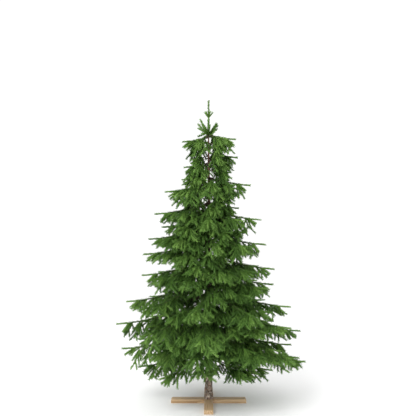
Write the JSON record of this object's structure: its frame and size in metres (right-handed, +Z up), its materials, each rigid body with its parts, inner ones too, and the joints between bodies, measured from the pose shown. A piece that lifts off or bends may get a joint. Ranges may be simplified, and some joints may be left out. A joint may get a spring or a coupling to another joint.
{
  "type": "douglas fir christmas tree",
  "caption": "Cut Douglas fir Christmas tree with a slender pointed top and a full, ragged cone of drooping needled boughs, standing on a plain wooden cross stand.",
  "frame": {"origin": "on the floor under the middle of the stand's cross, on the line of the trunk", "axes": "+Z up the trunk to the leader's tip, +X to the tree's right as seen from its front, -Y out of its front"},
  "size_m": [1.53, 1.4156, 2.4223],
  "materials": {
    "bark": "rough grey-brown bark",
    "needles": "matt mid-green needles, yellower at the shoots' ends",
    "stand_wood": "bare planed softwood"
  },
  "bodies": {
    "root": {"bough_left_01": "bark", "bough_left_02": "bark", "bough_left_03": "bark", "bough_left_04": "bark", "bough_left_05": "bark", "bough_left_06": "bark", "bough_left_07": "bark", "bough_left_08": "bark", "bough_left_09": "bark", "bough_left_10": "bark", "bough_left_11": "bark", "bough_left_12": "bark", "bough_left_13": "bark", "bough_right_01": "bark", "bough_right_02": "bark", "bough_right_03": "bark", "bough_right_04": "bark", "bough_right_05": "bark", "bough_right_06": "bark", "bough_right_07": "bark", "bough_right_08": "bark", "bough_right_09": "bark", "bough_right_10": "bark", "bough_right_11": "bark", "bough_right_12": "bark", "bough_right_13": "bark", "mass_leader": "needles", "mass_left_01": "needles", "mass_left_02": "needles", "mass_left_03": "needles", "mass_left_04": "needles", "mass_left_05": "needles", "mass_left_06": "needles", "mass_left_07": "needles", "mass_left_08": "needles", "mass_left_09": "needles", "mass_left_10": "needles", "mass_left_11": "needles", "mass_left_12": "needles", "mass_left_13": "needles", "mass_right_01": "needles", "mass_right_02": "needles", "mass_right_03": "needles", "mass_right_04": "needles", "mass_right_05": "needles", "mass_right_06": "needles", "mass_right_07": "needles", "mass_right_08": "needles", "mass_right_09": "needles", "mass_right_10": "needles", "mass_right_11": "needles", "mass_right_12": "needles", "mass_right_13": "needles", "mass_top_left": "needles", "mass_top_right": "needles", "stand_board_lower": "stand_wood", "stand_board_upper": "stand_wood", "trunk": "bark"}
  },
  "joints": []
}
